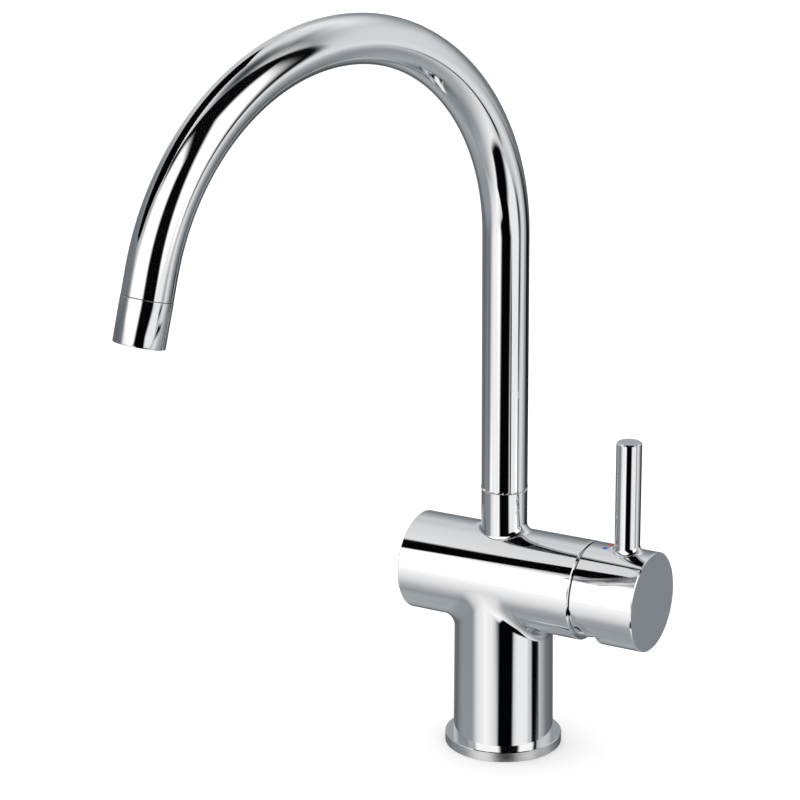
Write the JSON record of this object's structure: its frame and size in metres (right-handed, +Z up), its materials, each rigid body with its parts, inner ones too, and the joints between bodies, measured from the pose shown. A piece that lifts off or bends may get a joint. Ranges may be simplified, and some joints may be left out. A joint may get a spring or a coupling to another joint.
{
  "type": "kitchen tap",
  "caption": "Deck-mounted kitchen tap for hot, cold and filtered water, with a swivelling swan neck spout and a side lever on a cup-shaped handle.",
  "frame": {"origin": "on the column's axis, at the underside of the base ring, which is the worktop's surface", "axes": "+X along the valve barrel towards the handle, -Y towards the user, +Z up along the column"},
  "size_m": [0.1466, 0.2496, 0.3652],
  "materials": {
    "chrome": "mirror polished chrome plate on brass; the handle's end faces are satin",
    "ring_chrome": "chrome plate, polished on top, finely brushed round the rim",
    "bush_plastic": "pale self-lubricating plastic",
    "brass": "turned, bare",
    "steel": "stainless, turned",
    "cartridge_plastic": "moulded glass-filled plastic",
    "ceramic": "lapped ceramic",
    "seal_rubber": "moulded black rubber",
    "water_tube": "natural food-grade tube",
    "aerator_plastic": "moulded light grey plastic",
    "cold_enamel": "glossy blue enamel",
    "hot_enamel": "glossy red enamel"
  },
  "bodies": {
    "body": {"mixer_body": "chrome", "base_ring": "ring_chrome", "base_gasket": "seal_rubber", "end_cap": "chrome", "end_cap_o_ring": "seal_rubber", "cartridge_base": "cartridge_plastic", "cartridge_port_seals": "seal_rubber", "cartridge_housing": "cartridge_plastic", "fixed_disc": "ceramic", "cartridge_nut": "brass", "trim_dome": "chrome", "lower_swivel_bush": "bush_plastic", "upper_swivel_bush": "bush_plastic", "spout_retaining_screw": "steel", "filter_tube_seal": "seal_rubber"},
    "spout": {"spout_spigot": "brass", "spout_o_rings": "seal_rubber", "spout_tube": "chrome", "filtered_water_tube": "water_tube", "outlet_adapter": "brass", "aerator_shell": "chrome", "aerator_gasket": "seal_rubber", "aerator_insert": "aerator_plastic", "filtered_water_nozzle": "aerator_plastic"},
    "temperature_turret": {"cartridge_rotor": "cartridge_plastic", "pivot_pin": "steel"},
    "lever": {"cartridge_stem": "brass", "handle": "chrome", "handle_grub_screw": "steel", "cold_mark": "cold_enamel", "hot_mark": "hot_enamel"},
    "disc": {"moving_disc": "ceramic", "disc_carrier": "cartridge_plastic"}
  },
  "joints": [
    {"name": "spout_swivel", "type": "hinge", "parent": "body", "child": "spout", "pos_m": [0, 0, 0.1295], "axis": [0, 0, 1], "continuous": true},
    {"name": "temperature_turn", "type": "hinge", "parent": "body", "child": "temperature_turret", "pos_m": [0.048, 0, 0.0857], "axis": [1, 0, 0], "range_deg": [-45, 90]},
    {"name": "lever_tilt", "type": "hinge", "parent": "temperature_turret", "child": "lever", "pos_m": [0.048, 0, 0.0857], "axis": [0, 1, 0], "range_deg": [0, 22]},
    {"name": "disc_slide", "type": "slide", "parent": "temperature_turret", "child": "disc", "axis": [0, 0, 1], "range_m": [0, 0.00545]}
  ],
  "couplings": [
    {"joint": "disc_slide", "follows": "lever_tilt", "m_per_rad": 0.014146}
  ]
}
